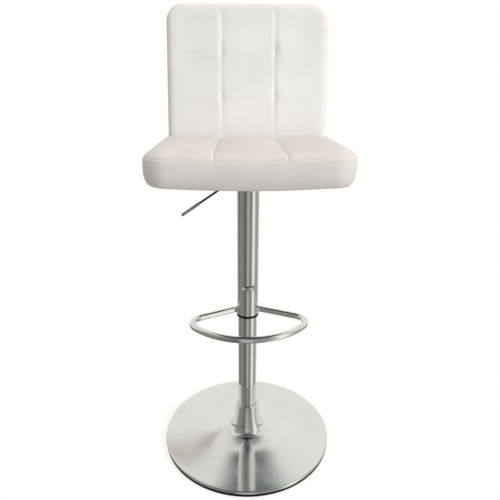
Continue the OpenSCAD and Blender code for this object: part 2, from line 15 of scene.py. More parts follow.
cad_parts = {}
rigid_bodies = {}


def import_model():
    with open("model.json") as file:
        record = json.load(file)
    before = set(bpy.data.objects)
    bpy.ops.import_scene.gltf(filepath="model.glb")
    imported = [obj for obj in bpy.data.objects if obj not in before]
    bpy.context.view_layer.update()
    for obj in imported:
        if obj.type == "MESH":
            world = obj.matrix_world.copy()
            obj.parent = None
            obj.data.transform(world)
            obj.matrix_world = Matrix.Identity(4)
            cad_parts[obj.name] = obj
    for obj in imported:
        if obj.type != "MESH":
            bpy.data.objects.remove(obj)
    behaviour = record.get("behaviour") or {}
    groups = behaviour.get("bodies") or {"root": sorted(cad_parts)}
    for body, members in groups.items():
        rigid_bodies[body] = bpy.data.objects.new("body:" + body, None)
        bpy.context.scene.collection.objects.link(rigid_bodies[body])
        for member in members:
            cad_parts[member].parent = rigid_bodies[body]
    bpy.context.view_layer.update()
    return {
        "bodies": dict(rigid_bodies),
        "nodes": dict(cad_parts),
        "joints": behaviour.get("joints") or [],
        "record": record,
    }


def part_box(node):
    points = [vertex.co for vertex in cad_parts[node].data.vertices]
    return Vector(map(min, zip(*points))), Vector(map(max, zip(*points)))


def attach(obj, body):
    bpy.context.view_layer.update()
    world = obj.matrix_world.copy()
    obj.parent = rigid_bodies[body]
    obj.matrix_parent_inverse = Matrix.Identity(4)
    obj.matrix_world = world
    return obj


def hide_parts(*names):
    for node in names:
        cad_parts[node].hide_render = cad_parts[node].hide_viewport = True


MM = 0.001

# Camera: metres from the axis and above the floor, angles in degrees, and the lens in millimetres
CAMERA_DISTANCE = 1.0735
CAMERA_HEIGHT = 0.9232
CAMERA_PITCH = 19.54
CAMERA_AZIMUTH = -1.4
CAMERA_ROLL = 0.34
CAMERA_LENS = 33.84
CAMERA_SHIFT_X = 0.0041

# Chromed base, column and sleeve. The rim's curve starts a little off the vertical, in radians
NECK_R = 31.5 * MM
NECK_FLARE = 4.6 * MM
DISC_Z = 13 * MM
RIM_R = 4 * MM
SHEET_T = 2 * MM
TUBE_WALL = 1.8 * MM
SLEEVE_WALL = 1.5 * MM
EDGE = 0.5 * MM
RIM_START = 0.08
COLLAR_FIT = 0.1 * MM
COLLAR_ROUND = 2.2 * MM
COLLAR_LAND = 4.2 * MM
COLLAR_DISH = 3 * MM
GUIDE_LIP = 5.8 * MM
GUIDE_PLAY = 0.15 * MM
GUIDE_FIT = 0.05 * MM
GUIDE_ROUND = 0.25 * MM

# Footrest loop
FOOTREST_ARC_R = 165 * MM
FOOTREST_ARC_Y = 10 * MM
FOOTREST_CORNER_R = 35 * MM
FOOTREST_ROOT_Y = 14 * MM
FOOTREST_ARM_START = 22 * MM
FOOTREST_TWIST = math.radians(1.5)
WELD_OFF = 0.3 * MM
WELD_R = 1.25 * MM
WELD_RIPPLE = 0.22 * MM
WELD_RIPPLES = 34

# Seat cushion: its plan corners, its two sewn channels, its stitched boxing seam, and how its cover hangs
SEAT_FRONT_R = 50 * MM
SEAT_REAR_R = 26 * MM
SEAT_EASE = 4 * MM
SEAT_SEAM_X = 70 * MM
SEAT_CHANNEL_DEPTH = 5 * MM
SEAT_CHANNEL_WIDTH = 6 * MM
SEAT_CHANNEL_END = 9 * MM
SEAT_SEAM_INSET = 3 * MM
SEAT_SEAM_DROP = 18 * MM
SEAT_SHOULDER = 8 * MM
SEAT_CROWN = 1.5 * MM
SEAT_DISH = 5 * MM
SEAT_SAG = 5 * MM
SEAT_RISE_LEFT = 8 * MM
SEAT_RISE_RIGHT = 3 * MM
SEAT_HEM_INSET = 25 * MM
SEAT_TOP_PUFF = 7 * MM
SEAT_SIDE_PUFF = 1.6 * MM

# Wire staples in the seat's hem
STAPLES_ACROSS = 16
STAPLES_ALONG = 12
STAPLE_INSET = 20 * MM
STAPLE_CROWN = 10 * MM
STAPLE_BEND = 0.4 * MM
STAPLE_R = 0.5 * MM

# Back cushion, drawn upright: its corners, its sewn channels and its cross seams, measured up from its foot
BACK_LEAN = math.radians(8)
BACK_LENGTH = 373 * MM
BACK_THICK = 56 * MM
BACK_EDGE_R = 17 * MM
BACK_TOP_R = 42 * MM
BACK_FOOT_R = 22 * MM
BACK_SPREAD = 4 * MM
BACK_RISE = 2.5 * MM
BACK_SEAMS = (-64 * MM, 66.5 * MM)
BACK_CROSS_SEAMS = (161 * MM, 263.5 * MM)
BACK_FACE_INSET = 13 * MM
BACK_FACE_RISE = 2.2 * MM
BACK_SHOULDER = 7 * MM
BACK_CHANNEL_DEPTH = 7 * MM
BACK_CHANNEL_WIDTHS = (3.5 * MM, 9 * MM)
BACK_TIE_DEPTH = 0.5 * MM
BACK_TIE_WIDTH = 9 * MM
BACK_DIMPLE_DEPTH = 2.4 * MM
BACK_DIMPLE_R = 11 * MM
BACK_FACE_PUFF = 4 * MM
BACK_SIDE_PUFF = 0.8 * MM

# Cloth: the grid's step, the close lines by each seam, and the pressure inside
CLOTH_STEP = 5 * MM
SEAM_LINE = 1.8 * MM
LEAST_CORNER_R = 4 * MM
CLOTH_PRESSURE = 5.0
CLOTH_FRAMES = 20


# ---- Meshes ----


def add_mesh(name, verts, faces, material, smooth_angle=40):
    """A new object in the scene, shaded smooth except across sharp edges."""
    mesh = bpy.data.meshes.new(name)
    mesh.from_pydata([tuple(v) for v in verts], [], faces)
    mesh.validate()
    mesh.update()
    mesh.shade_smooth()
    mesh.set_sharp_from_angle(angle=math.radians(smooth_angle))
    mesh.materials.append(material)
    piece = bpy.data.objects.new(name, mesh)
    bpy.context.scene.collection.objects.link(piece)
    return piece


def grid_faces(rows, columns, wrap_rows=False, wrap_columns=False, start=0):
    """Quads between rows of vertices, each row holding the same number of columns."""
    faces = []
    for i in range(rows if wrap_rows else rows - 1):
        for j in range(columns if wrap_columns else columns - 1):
            i2, j2 = (i + 1) % rows, (j + 1) % columns
            faces.append([start + i * columns + j, start + i * columns + j2,
                          start + i2 * columns + j2, start + i2 * columns + j])
    return faces


def lathe(name, profile, material, steps):
    """Turns a closed profile of (radius, height) points about the Z axis."""
    turns = [2 * math.pi * k / steps for k in range(steps)]
    verts = [(r * math.cos(a), r * math.sin(a), z) for a in turns for r, z in profile]
    return add_mesh(name, verts, grid_faces(steps, len(profile), True, True), material, 30)


def round_corner(corner, before, after, radius, steps=5):
    """Points of a fillet at a profile's corner."""
    corner, before, after = Vector(corner), Vector(before), Vector(after)
    start = corner + (before - corner).normalized() * radius
    end = corner + (after - corner).normalized() * radius
    points = []
    for k in range(steps + 1):
        t = k / steps
        points.append(tuple((1 - t) ** 2 * start + 2 * t * (1 - t) * corner + t * t * end))
    return points


def rounded_profile(points, radius):
    """A closed profile with a small fillet at every corner."""
    rounded = []
    count = len(points)
    for k in range(count):
        rounded += round_corner(points[k], points[k - 1], points[(k + 1) % count], radius)
    return rounded


def tube_frames(path, closed):
    """A turning-free frame at each point of a path: two directions square to it."""
    count = len(path)
    tangents = []
    for k in range(count):
        before = path[k - 1] if closed or k else path[k]
        after = path[(k + 1) % count] if closed or k < count - 1 else path[k]
        tangents.append((after - before).normalized())
    side = tangents[0].orthogonal().normalized()
    frames = []
    for tangent in tangents:
        side = (side - tangent * side.dot(tangent)).normalized()
        frames.append((side, tangent.cross(side)))
    return frames


def bar(path, radii, sides, closed=False, caps=False, start=0):
    """Points and faces of a round bar along a path, with its own radius at each point.

    The faces count their points from start.
    """
    verts = []
    for point, radius, (side, up) in zip(path, radii, tube_frames(path, closed)):
        for k in range(sides):
            a = 2 * math.pi * k / sides
            verts.append(point + radius * (math.cos(a) * side + math.sin(a) * up))
    faces = grid_faces(len(path), sides, closed, True, start)
    if caps:
        faces.append([start + k for k in range(sides)][::-1])
        faces.append([start + (len(path) - 1) * sides + k for k in range(sides)])
    return verts, faces


def sweep(name, path, radii, material, sides, closed=False):
    """A new object made of one bar with open ends, or of a closed ring."""
    verts, faces = bar(path, radii, sides, closed)
    return add_mesh(name, verts, faces, material, 50)


def curve_through(points, steps):
    """A smooth curve through given points, as evenly numbered samples."""
    points = [np.array(p, float) for p in points]
    padded = [2 * points[0] - points[1]] + points + [2 * points[-1] - points[-2]]
    samples = []
    for k in range(steps + 1):
        at = k / steps * (len(points) - 1)
        i = min(int(at), len(points) - 2)
        t = at - i
        a, b, c, d = padded[i:i + 4]
        samples.append(0.5 * (2 * b + (c - a) * t + (2 * a - 5 * b + 4 * c - d) * t ** 2
                              + (3 * b - a - 3 * c + d) * t ** 3))
    return samples


def triples(items, attribute):
    """Three numbers from each item of a mesh, as rows."""
    values = np.empty(3 * len(items))
    items.foreach_get(attribute, values)
    return values.reshape(-1, 3)


def mesh_points(piece):
    return triples(piece.data.vertices, "co")


def set_points(piece, points):
    piece.data.vertices.foreach_set("co", points.ravel())
    piece.data.update()


def subdivide(piece):
    """Replaces the piece's mesh by its subdivided one."""
    piece.modifiers.new("smooth", "SUBSURF").levels = 1
    deps = bpy.context.evaluated_depsgraph_get()
    finer = bpy.data.meshes.new_from_object(piece.evaluated_get(deps))
    piece.modifiers.clear()
    piece.data = finer
    finer.name = piece.name
    finer.shade_smooth()


# ---- Materials ----


def add_node(tree, kind, inputs=None, **settings):
    """A new node. An input that is given a socket is linked to it, and any other takes the value."""
    node = tree.nodes.new(kind)
    for key, value in settings.items():
        setattr(node, key, value)
    for key, value in (inputs or {}).items():
        if isinstance(value, bpy.types.NodeSocket):
            tree.links.new(value, node.inputs[key])
        else:
            node.inputs[key].default_value = value
    return node


class Look:
    """A Principled material and the procedural nodes that feed it."""

    def __init__(self, name, color, roughness, metallic=0.0):
        self.material = bpy.data.materials.new(name)
        self.material.use_nodes = True
        self.tree = self.material.node_tree
        self.shader = self.tree.nodes["Principled BSDF"]
        self.shader.inputs["Base Color"].default_value = (*color, 1)
        self.shader.inputs["Roughness"].default_value = roughness
        self.shader.inputs["Metallic"].default_value = metallic
        self.node = partial(add_node, self.tree)
        self.place = self.node("ShaderNodeTexCoord").outputs["Object"]

    def stretched(self, x, y, z):
        """Coordinates stretched along an axis, for grain and brush marks."""
        return self.node("ShaderNodeMapping", {"Vector": self.place, "Scale": (x, y, z)}).outputs["Vector"]

    def noise(self, scale, detail=3.0, rough=0.5, vector=None, distortion=0.0):
        inputs = {"Vector": vector or self.place, "Scale": scale, "Detail": detail,
                  "Roughness": rough, "Distortion": distortion}
        return self.node("ShaderNodeTexNoise", inputs).outputs["Fac"]

    def cells(self, scale, feature="F1", vector=None):
        inputs = {"Vector": vector or self.place, "Scale": scale}
        return self.node("ShaderNodeTexVoronoi", inputs, feature=feature).outputs["Distance"]

    def spread(self, value, low, high, from_low=0.3, from_high=0.7):
        """Maps a noise onto a range."""
        inputs = {"Value": value, "From Min": from_low, "From Max": from_high, "To Min": low, "To Max": high}
        return self.node("ShaderNodeMapRange", inputs, clamp=True).outputs["Result"]

    def maths(self, operation, a, b):
        return self.node("ShaderNodeMath", {0: a, 1: b}, operation=operation).outputs["Value"]

    def blend(self, factor, first, second):
        """A colour between two colours."""
        ramp = self.node("ShaderNodeValToRGB", {"Fac": factor})
        ramp.color_ramp.elements[0].color = (*first, 1)
        ramp.color_ramp.elements[1].color = (*second, 1)
        return ramp.outputs["Color"]

    def color(self, value):
        self.tree.links.new(value, self.shader.inputs["Base Color"])

    def rough(self, value):
        self.tree.links.new(value, self.shader.inputs["Roughness"])

    def bump(self, height, distance, strength, onto=None):
        inputs = {"Height": height, "Distance": distance, "Strength": strength}
        if onto:
            inputs["Normal"] = onto
        normal = self.node("ShaderNodeBump", inputs).outputs["Normal"]
        self.tree.links.new(normal, self.shader.inputs["Normal"])
        return normal


def white_leather(name, dark, light):
    """Soft faux leather: pebbled grain, fine creases and a faint mottle."""
    look = Look(name, light, 0.42)
    warp = look.noise(140, 2)
    grain = look.cells(620, "SMOOTH_F1")
    creases = look.cells(95, "DISTANCE_TO_EDGE", look.stretched(1, 1.6, 1.2))
    mottle = look.noise(11, 4, 0.6)
    look.color(look.blend(look.spread(mottle, 0, 1), dark, light))
    look.rough(look.spread(look.maths("ADD", look.maths("MULTIPLY", grain, 0.5), warp), 0.36, 0.5, 0.4, 1.0))
    fine = look.bump(look.maths("ADD", grain, look.maths("MULTIPLY", warp, 0.6)), 0.12 * MM, 0.5)
    look.bump(look.spread(creases, 0, 1, 0, 0.08), 0.08 * MM, 0.25, fine)
    look.shader.inputs["Specular IOR Level"].default_value = 0.42
    return look.material


def polished_chrome():
    """Bright chrome with fine polishing lines, faint smears and a slight waviness."""
    look = Look("chrome", (0.86, 0.86, 0.85), 0.055, 1.0)
    smears = look.noise(16, 5, 0.62)
    lines = look.noise(420, 2, 0.5, look.stretched(1, 1, 0.04))
    look.color(look.blend(look.spread(smears, 0, 1), (0.82, 0.82, 0.81), (0.89, 0.89, 0.88)))
    mixed = look.maths("ADD", look.maths("MULTIPLY", smears, 0.75), look.maths("MULTIPLY", lines, 0.25))
    look.rough(look.spread(mixed, 0.0385, 0.0825))
    waves = look.bump(look.noise(9, 1, 0.3), 0.05 * MM, 0.6)
    look.bump(lines, 0.004 * MM, 0.3, waves)
    return look.material


def spun_chrome():
    """Chrome on the spun disc: concentric spinning marks under the plating, and soft smears."""
    look = Look("chrome_disc", (0.86, 0.86, 0.85), 0.12, 1.0)
    flat = look.node("ShaderNodeVectorMath", {0: look.place, 1: (1, 1, 0)}, operation="MULTIPLY").outputs[0]
    radius = look.node("ShaderNodeVectorMath", {0: flat}, operation="LENGTH").outputs["Value"]
    rings_at = look.node("ShaderNodeCombineXYZ", {"X": radius}).outputs["Vector"]
    rings = look.noise(520, 3, 0.6, rings_at)
    smears = look.noise(13, 5, 0.6)
    look.color(look.blend(look.spread(smears, 0, 1), (0.83, 0.83, 0.82), (0.88, 0.88, 0.87)))
    mixed = look.maths("ADD", look.maths("MULTIPLY", smears, 0.7), look.maths("MULTIPLY", rings, 0.3))
    look.rough(look.spread(mixed, 0.07, 0.16))
    waves = look.bump(look.noise(14, 2, 0.4), 0.12 * MM, 0.5)
    look.bump(rings, 0.01 * MM, 0.35, waves)
    return look.material


def rubber():
    look = Look("black_rubber", (0.01, 0.01, 0.01), 0.7)
    dust = look.noise(60, 5, 0.65)
    look.color(look.blend(look.spread(dust, 0, 1), (0.006, 0.006, 0.006), (0.022, 0.022, 0.021)))
    look.shader.inputs["Specular IOR Level"].default_value = 0.2
    look.rough(look.spread(dust, 0.6, 0.85))
    look.bump(look.noise(900, 3), 0.06 * MM, 0.5)
    return look.material


def moulded_plastic():
    look = Look("black_plastic", (0.01, 0.01, 0.011), 0.38)
    look.shader.inputs["Specular IOR Level"].default_value = 0.3
    spark = look.cells(800, "SMOOTH_F1")
    look.color(look.blend(look.spread(look.noise(40, 4), 0, 1), (0.006, 0.006, 0.007), (0.016, 0.016, 0.018)))
    look.rough(look.spread(spark, 0.3, 0.48, 0, 0.8))
    look.bump(spark, 0.05 * MM, 0.4)
    return look.material


def bare_steel():
    """Turned and brushed bare steel."""
    look = Look("bare_steel", (0.5, 0.51, 0.52), 0.3, 1.0)
    brush = look.noise(700, 3, 0.6, look.stretched(1, 1, 0.08))
    oil = look.noise(30, 4, 0.6)
    look.color(look.blend(look.spread(oil, 0, 1), (0.42, 0.42, 0.42), (0.58, 0.58, 0.585)))
    look.rough(look.spread(brush, 0.22, 0.42))
    look.bump(brush, 0.015 * MM, 0.5)
    return look.material


def zinc():
    look = Look("zinc_fasteners", (0.6, 0.6, 0.59), 0.35, 1.0)
    flakes = look.cells(260)
    look.color(look.blend(look.spread(flakes, 0, 1, 0, 0.8), (0.5, 0.51, 0.51), (0.68, 0.68, 0.66)))
    look.rough(look.spread(flakes, 0.28, 0.46, 0, 0.8))
    look.bump(look.noise(500, 3), 0.02 * MM, 0.4)
    return look.material


def painted_steel():
    """Black powder coat with a light orange peel, rubbed a little brighter in places."""
    look = Look("black_steel", (0.022, 0.022, 0.024), 0.36)
    wear = look.noise(45, 5, 0.7)
    peel = look.noise(380, 2, 0.5)
    look.color(look.blend(look.spread(wear, 0, 1), (0.016, 0.016, 0.018), (0.05, 0.05, 0.052)))
    look.rough(look.spread(peel, 0.26, 0.46))
    look.bump(peel, 0.08 * MM, 0.35)
    return look.material


def brass():
    look = Look("brass", (0.7, 0.53, 0.24), 0.28, 1.0)
    tarnish = look.noise(55, 5, 0.65)
    look.color(look.blend(look.spread(tarnish, 0, 1), (0.55, 0.38, 0.15), (0.76, 0.6, 0.3)))
    look.rough(look.spread(tarnish, 0.2, 0.4))
    look.bump(look.noise(650, 2, 0.5, look.stretched(1, 1, 0.1)), 0.012 * MM, 0.5)
    return look.material


def button_steel():
    look = Look("button_steel", (0.68, 0.68, 0.68), 0.14, 1.0)
    rub = look.noise(300, 4, 0.6)
    look.color(look.blend(look.spread(rub, 0, 1), (0.6, 0.6, 0.6), (0.75, 0.75, 0.74)))
    look.rough(look.spread(rub, 0.08, 0.22))
    look.bump(rub, 0.01 * MM, 0.3)
    return look.material


def plywood():
    """Birch ply: long grain on the faces and dark and light veneers through the thickness."""
    look = Look("plywood", (0.66, 0.47, 0.28), 0.62)
    grain = look.noise(90, 5, 0.6, look.stretched(0.12, 1.4, 1), 0.6)
    veneers = look.node("ShaderNodeTexWave", {"Vector": look.place, "Scale": 130.0, "Distortion": 0.3},
                        bands_direction="Z").outputs["Fac"]
    mixed = look.maths("ADD", look.maths("MULTIPLY", grain, 0.75), look.maths("MULTIPLY", veneers, 0.25))
    look.color(look.blend(look.spread(mixed, 0, 1), (0.46, 0.29, 0.15), (0.76, 0.58, 0.37)))
    look.rough(look.spread(grain, 0.55, 0.75))
    look.bump(grain, 0.15 * MM, 0.5)
    return look.material


def foam():
    """Cut open-cell foam."""
    look = Look("foam", (0.84, 0.72, 0.42), 0.9)
    pores = look.cells(420)
    look.color(look.blend(look.spread(pores, 0, 1, 0, 0.8), (0.62, 0.5, 0.26), (0.88, 0.78, 0.5)))
    look.rough(look.spread(pores, 0.8, 0.95, 0, 0.8))
    look.bump(pores, 0.6 * MM, 0.7)
    return look.material


def lining():
    """Black spun-bonded lining cloth with its pressed diamond pattern."""
    look = Look("black_lining", (0.02, 0.02, 0.022), 0.85)
    turned = look.node("ShaderNodeMapping", {"Vector": look.place, "Rotation": (0, 0, math.radians(45))})
    bonds = look.node("ShaderNodeTexVoronoi", {"Vector": turned.outputs["Vector"], "Scale": 420.0,
                                               "Randomness": 0.12}, distance="CHEBYCHEV").outputs["Distance"]
    fibres = look.noise(900, 4, 0.7)
    look.color(look.blend(look.spread(fibres, 0, 1), (0.012, 0.012, 0.014), (0.04, 0.04, 0.043)))
    look.rough(look.spread(bonds, 0.72, 0.95, 0, 0.7))
    weave = look.bump(bonds, 0.15 * MM, 0.6)
    look.bump(fibres, 0.05 * MM, 0.5, weave)
    return look.material


def make_materials():
    """Every finish, by the record's slot name, with a few extra ones, among them a second copy of the leather
    with painted light in its colour.
    """
    return {
        "chrome": polished_chrome(),
        "chrome_disc": spun_chrome(),
        "black_rubber": rubber(),
        "black_plastic": moulded_plastic(),
        "bare_steel": bare_steel(),
        "zinc_fasteners": zinc(),
        "black_steel": painted_steel(),
        "brass": brass(),
        "button_steel": button_steel(),
        "plywood": plywood(),
        "foam": foam(),
        # One white leather in two copies: the seat's is painted darker and warmer, as painted shade and warm
        # light, and the back's is painted brighter, as painted light
        "white_faux_leather": white_leather("white_faux_leather", (0.8, 0.765, 0.73), (0.86, 0.83, 0.795)),
        "back_leather_painted_bright": white_leather("back_leather_painted_bright", (0.9, 0.9, 0.885), (0.95, 0.95, 0.935)),
        "black_lining": lining(),
    }


def finish_nodes(frame, looks):
    """Gives every CAD node the finish of its own slot."""
    slots = {part["node"]: part["material_slot"] for part in frame["record"]["subparts"]}
    for name, piece in frame["nodes"].items():
        for slot in piece.material_slots:
            slot.material = looks[slots[name]]


def settle(piece, body, slot, *nodes):
    """Ties a new piece to its body and hides the CAD nodes that it stands for. The slot is not used."""
    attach(piece, body)
    if nodes:
        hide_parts(*nodes)


# ---- Base and column ----


def base_shell(looks):
    """Spun trumpet base: a hyperbola from the neck out to the disc, and a rolled rim."""
    outer_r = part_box("base_shell")[1][0]
    low_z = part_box("base_shell")[0][2]
    neck_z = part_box("base_shell")[1][2]
    axis_r = NECK_R - NECK_FLARE
    reach = (outer_r - RIM_R - axis_r) / NECK_FLARE
    steps = 70
    outer = []
    for k in range(steps + 1):
        q = reach ** (k / steps)
        outer.append((axis_r + NECK_FLARE * q, DISC_Z + (neck_z - DISC_Z) / q))
    edge_z = outer[-1][1]
    rim = [(outer_r - RIM_R + RIM_R * math.sin(a), edge_z - RIM_R + RIM_R * math.cos(a))
           for a in np.linspace(RIM_START, math.pi / 2, 8)]
    inner_r = outer_r - SHEET_T
    under = [(r, z - SHEET_T) for r, z in outer[::-2] if r > NECK_R + SHEET_T]
    inside = [(NECK_R - SHEET_T, under[-1][1] - SHEET_T), (NECK_R - SHEET_T, neck_z)]
    profile = outer + rim + [(outer_r, low_z), (inner_r, low_z), (inner_r, edge_z - RIM_R)] + under + inside
    piece = lathe("base_disc", profile, looks["chrome_disc"], 320)
    settle(piece, "base", "chrome", "base_shell")


def base_collar(looks):
    """Turned collar with a dished top, seated in the neck."""
    low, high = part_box("base_collar")
    tube_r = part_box("column_tube")[1][0]
    neck_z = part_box("base_shell")[1][2]
    outer_r, top_z = high[0], high[2]
    bore_r = tube_r + COLLAR_FIT
    plug_r = outer_r - SHEET_T - COLLAR_FIT
    dish_z = top_z - COLLAR_DISH
    land = (outer_r - COLLAR_LAND, top_z)
    profile = [(bore_r, low[2]), (plug_r, low[2]), (plug_r, neck_z), (outer_r, neck_z)]
    profile += round_corner((outer_r, top_z), (outer_r, neck_z), land, COLLAR_ROUND, 8)
    profile += round_corner(land, (outer_r, top_z), (outer_r - 7 * MM, dish_z), MM)
    profile += [(outer_r - 6.6 * MM, dish_z), (bore_r, dish_z - 0.3 * MM)]
    piece = lathe("column_collar", profile, looks["chrome"], 192)
    settle(piece, "base", "chrome", "base_collar")


def pipe(name, node, wall, looks, body):
    """A tube with eased ends in place of a CAD tube."""
    low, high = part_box(node)
    ends = [(high[0] - wall, low[2]), (high[0], low[2]), (high[0], high[2]), (high[0] - wall, high[2])]
    piece = lathe(name, rounded_profile(ends, EDGE), looks["chrome"], 160)
    settle(piece, body, "chrome", node)


def guide_ring(looks):
    """Moulded ring in the sleeve's lower end, with a rounded lip below it."""
    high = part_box("sleeve_guide_ring")[1]
    sleeve_low, sleeve_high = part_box("sleeve_tube")
    inner_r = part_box("column_tube")[1][0] + GUIDE_PLAY
    plug_r = sleeve_high[0] - SLEEVE_WALL - GUIDE_FIT
    top_z = sleeve_low[2]
    lip_z = top_z - GUIDE_LIP
    ends = [(inner_r, lip_z), (high[0], lip_z), (high[0], top_z), (plug_r, top_z), (plug_r, high[2]),
            (inner_r, high[2])]
    piece = lathe("guide_ring", rounded_profile(ends, GUIDE_ROUND), looks["black_plastic"], 160)
    settle(piece, "seat_carriage", "black_plastic", "sleeve_guide_ring")


# ---- Footrest ----


def footrest_path():
    """The loop's centre line: out along one arm, round the corners and the front, and back."""
    low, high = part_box("footrest_loop")
    tube_r = (high[2] - low[2]) / 2
    z = (high[2] + low[2]) / 2
    half_w = high[0] - tube_r
    corner_x = half_w - FOOTREST_CORNER_R
    corner_y = FOOTREST_ARC_Y - math.sqrt((FOOTREST_ARC_R - FOOTREST_CORNER_R) ** 2 - corner_x ** 2)
    reach = math.hypot(corner_x, corner_y - FOOTREST_ROOT_Y)
    arm_angle = math.atan2(corner_y - FOOTREST_ROOT_Y, corner_x) + math.asin(FOOTREST_CORNER_R / reach)
    arm_length = math.sqrt(reach ** 2 - FOOTREST_CORNER_R ** 2)
    arc_angle = math.atan2(corner_y - FOOTREST_ARC_Y, corner_x)
    along = Vector((math.cos(arm_angle), math.sin(arm_angle), 0))
    root = Vector((0, FOOTREST_ROOT_Y, z))
    half = [root + along * d for d in np.linspace(FOOTREST_ARM_START, arm_length, 12)]
    for a in np.linspace(arm_angle + math.pi / 2, arc_angle, 26)[1:]:
        half.append(Vector((corner_x + FOOTREST_CORNER_R * math.cos(a),
                            corner_y + FOOTREST_CORNER_R * math.sin(a), z)))
    for a in np.linspace(arc_angle, -math.pi / 2, 40)[1:]:
        half.append(Vector((FOOTREST_ARC_R * math.cos(a), FOOTREST_ARC_Y + FOOTREST_ARC_R * math.sin(a), z)))
    mirrored = [Vector((-p.x, p.y, p.z)) for p in half[-2::-1]]
    return half + mirrored, tube_r, along, root


def slide_to(point, along, radius):
    """How far to slide a point along an arm until it is this far from the Z axis."""
    flat = Vector((point.x, point.y))
    slant = flat.dot(Vector((along.x, along.y)))
    return -slant + math.sqrt(slant ** 2 - flat.length_squared + radius ** 2)


def weld_bead(name, along, root, tube_r, sleeve_r, material):
    """A rippled bead where an arm runs into the sleeve."""
    up = Vector((0, 0, 1))
    side = along.cross(up)
    path = []
    radii = []
    for a in np.linspace(0, 2 * math.pi, 120, endpoint=False):
        start = root + (tube_r + WELD_OFF) * (math.cos(a) * side + math.sin(a) * up)
        path.append(start + along * slide_to(start, along, sleeve_r + WELD_OFF))
        radii.append(WELD_R + WELD_RIPPLE * abs(math.sin(WELD_RIPPLES * a / 2)))
    return sweep(name, path, radii, material, 14, True)


def footrest(looks):
    """One bent bar with both ends let into the sleeve's wall, and a bead round each."""
    path, tube_r, along, root = footrest_path()
    sleeve_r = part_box("sleeve_tube")[1][0]
    mirrored = Vector((-along.x, along.y, 0))
    twist = Matrix.Rotation(FOOTREST_TWIST, 4, "Z")
    sides = 48
    loop = sweep("footrest_tube", path, [tube_r] * len(path), looks["chrome"], sides)
    verts = loop.data.vertices
    for first, direction in ((0, along), (len(verts) - sides, mirrored)):
        for k in range(first, first + sides):
            verts[k].co += direction * slide_to(verts[k].co, direction, sleeve_r - SLEEVE_WALL / 2)
    loop.data.transform(twist)
    settle(loop, "seat_carriage", "chrome", "footrest_loop")
    for name, direction in (("weld_left", along), ("weld_right", mirrored)):
        bead = weld_bead(name, direction, root, tube_r, sleeve_r, looks["chrome"])
        bead.data.transform(twist)
        settle(bead, "seat_carriage", "chrome")


# ---- Cushions ----


def stations(low, high, seams):
    """Grid lines from low to high at about the cloth step, with close lines at each seam."""
    marks = [low] + sorted(seams) + [high]
    lines = []
    for start, end in zip(marks, marks[1:]):
        count = max(2, round((end - start) / CLOTH_STEP))
        lines += list(np.linspace(start, end, count, endpoint=False))
    lines.append(high)
    for seam in seams:
        lines += [seam - SEAM_LINE, seam + SEAM_LINE]
    lines += [low + SEAM_LINE, high - SEAM_LINE]
    return np.array(sorted(lines))


class Plan:
    """A rounded rectangle about its own centre, with one corner radius below and another above."""

    def __init__(self, half_w, half_h, low_r, high_r):
        self.half = (half_w, half_h)
        self.radii = (low_r, high_r)

    def place(self, x, y, inset):
        """Moves grid points of the full rectangle onto the rounded, inset one."""
        half_w, half_h = self.half[0] - inset, self.half[1] - inset
        radius = np.where(y < 0, self.radii[0], self.radii[1]) - inset
        radius = np.maximum(radius, LEAST_CORNER_R)
        x = x * half_w / self.half[0]
        y = y * half_h / self.half[1]
        dx = np.abs(x) - (half_w - radius)
        dy = np.abs(y) - (half_h - radius)
        corner = (dx > 0) & (dy > 0)
        pull = np.where(corner, np.maximum(dx, dy) / np.maximum(np.hypot(dx, dy), 1e-9), 1)
        new_x = np.where(corner, np.sign(x) * (half_w - radius + dx * pull), x)
        new_y = np.where(corner, np.sign(y) * (half_h - radius + dy * pull), y)
        return new_x, new_y

    def depth(self, x, y):
        """Distance from the outline, inwards."""
        radius = np.where(y < 0, self.radii[0], self.radii[1])
        dx = np.abs(x) - (self.half[0] - radius)
        dy = np.abs(y) - (self.half[1] - radius)
        outside = np.hypot(np.maximum(dx, 0), np.maximum(dy, 0))
        return radius - outside - np.minimum(np.maximum(dx, dy), 0)


def border(rows, columns):
    """Indices of a grid's boundary, once round."""
    low = list(range(columns))
    right = [i * columns + columns - 1 for i in range(1, rows)]
    high = [(rows - 1) * columns + j for j in range(columns - 2, -1, -1)]
    left = [i * columns for i in range(rows - 2, 0, -1)]
    return low + right + high + left


def cushion_shell(plan, across, along, face_inset, face_height, side, back_inset, back_height):
    """A closed cushion: a face grid, rings down its side, and a back grid.

    Each height is a function of the place on the plan, measured square to it. Returns the points, the faces,
    and the number of points on the face grid.
    """
    scale_x = plan.half[0] / (plan.half[0] - face_inset)
    scale_y = plan.half[1] / (plan.half[1] - face_inset)
    grid_x, grid_y = np.meshgrid(across * scale_x, along * scale_y)
    rows, columns = grid_x.shape
    x, y = plan.place(grid_x.ravel(), grid_y.ravel(), face_inset)
    points = [np.column_stack([x, y, face_height(x, y)])]
    faces = grid_faces(rows, columns)
    ring = border(rows, columns)
    edge_x, edge_y = grid_x.ravel()[ring], grid_y.ravel()[ring]
    count = len(ring)
    previous = ring
    start = rows * columns
    for inset, height in side:
        x, y = plan.place(edge_x, edge_y, inset)
        points.append(np.column_stack([x, y, height(x, y)]))
        current = list(range(start, start + count))
        faces += join_rings(previous, current)
        previous = current
        start += count
    x, y = plan.place(grid_x.ravel(), grid_y.ravel(), back_inset)
    points.append(np.column_stack([x, y, back_height(x, y)]))
    faces += join_rings(previous, [start + i for i in ring])
    faces += [[start + i for i in face[::-1]] for face in grid_faces(rows, columns)]
    return np.vstack(points), faces, rows * columns


def join_rings(first, second):
    """Quads between two closed rings of as many points."""
    count = len(first)
    return [[first[(k + 1) % count], first[k], second[k], second[(k + 1) % count]] for k in range(count)]


